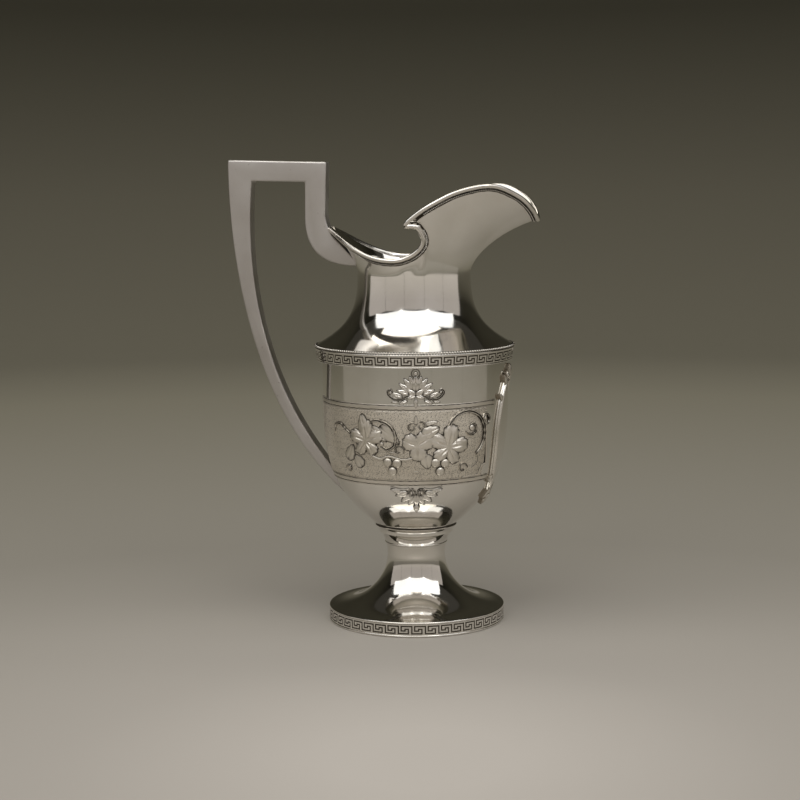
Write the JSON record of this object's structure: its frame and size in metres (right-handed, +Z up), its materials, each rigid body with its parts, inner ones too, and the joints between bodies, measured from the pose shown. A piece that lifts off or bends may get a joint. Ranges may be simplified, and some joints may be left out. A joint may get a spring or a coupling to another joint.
{
  "type": "water pitcher",
  "caption": "Urn-shaped silver water pitcher on a trumpet foot, with a helmet spout, a square hollow handle, Greek-key bands and a grape-vine frieze.",
  "frame": {"origin": "centre of the foot, on the table it stands on", "axes": "+Z up, +X along the spout, so that the handle is at -X; +Y completes a right-handed frame"},
  "size_m": [0.2223, 0.1432, 0.3313],
  "materials": {
    "polished_silver": "polished sterling silver with fine wear",
    "chased_silver": "chased and rolled silver, dark in the recesses",
    "matted_silver": "stippled (matted) silver ground",
    "satin_silver": "satin silver with small pits"
  },
  "bodies": {
    "root": {"base_wire": "polished_silver", "foot_top_wire": "polished_silver", "foot": "polished_silver", "stem_ring": "polished_silver", "stem_collar": "polished_silver", "bowl": "polished_silver", "lower_border_right": "polished_silver", "lower_border_left": "polished_silver", "upper_border": "polished_silver", "cartouche_plate": "polished_silver", "band_backing": "polished_silver", "band_low_fillet": "polished_silver", "band_top_fillet": "polished_silver", "upper_body": "polished_silver", "rim_moulding": "polished_silver", "seam_wire": "chased_silver", "foot_key_band": "chased_silver", "frieze_leaves_right": "chased_silver", "frieze_leaves_left": "chased_silver", "frieze_grapes_right": "chased_silver", "frieze_grapes_left": "chased_silver", "frieze_vines_right": "chased_silver", "frieze_vines_left": "chased_silver", "palmette_right": "chased_silver", "palmette_left": "chased_silver", "pendant_right": "chased_silver", "pendant_left": "chased_silver", "cartouche_frame": "chased_silver", "shoulder_key_band": "chased_silver", "bead_wire": "chased_silver", "rim_bead_wire": "chased_silver", "frieze_panel_right": "matted_silver", "frieze_panel_left": "matted_silver", "handle_plate_right": "satin_silver", "handle_plate_left": "satin_silver", "handle_outer_strip": "satin_silver", "handle_inner_strip": "satin_silver"}
  },
  "joints": []
}
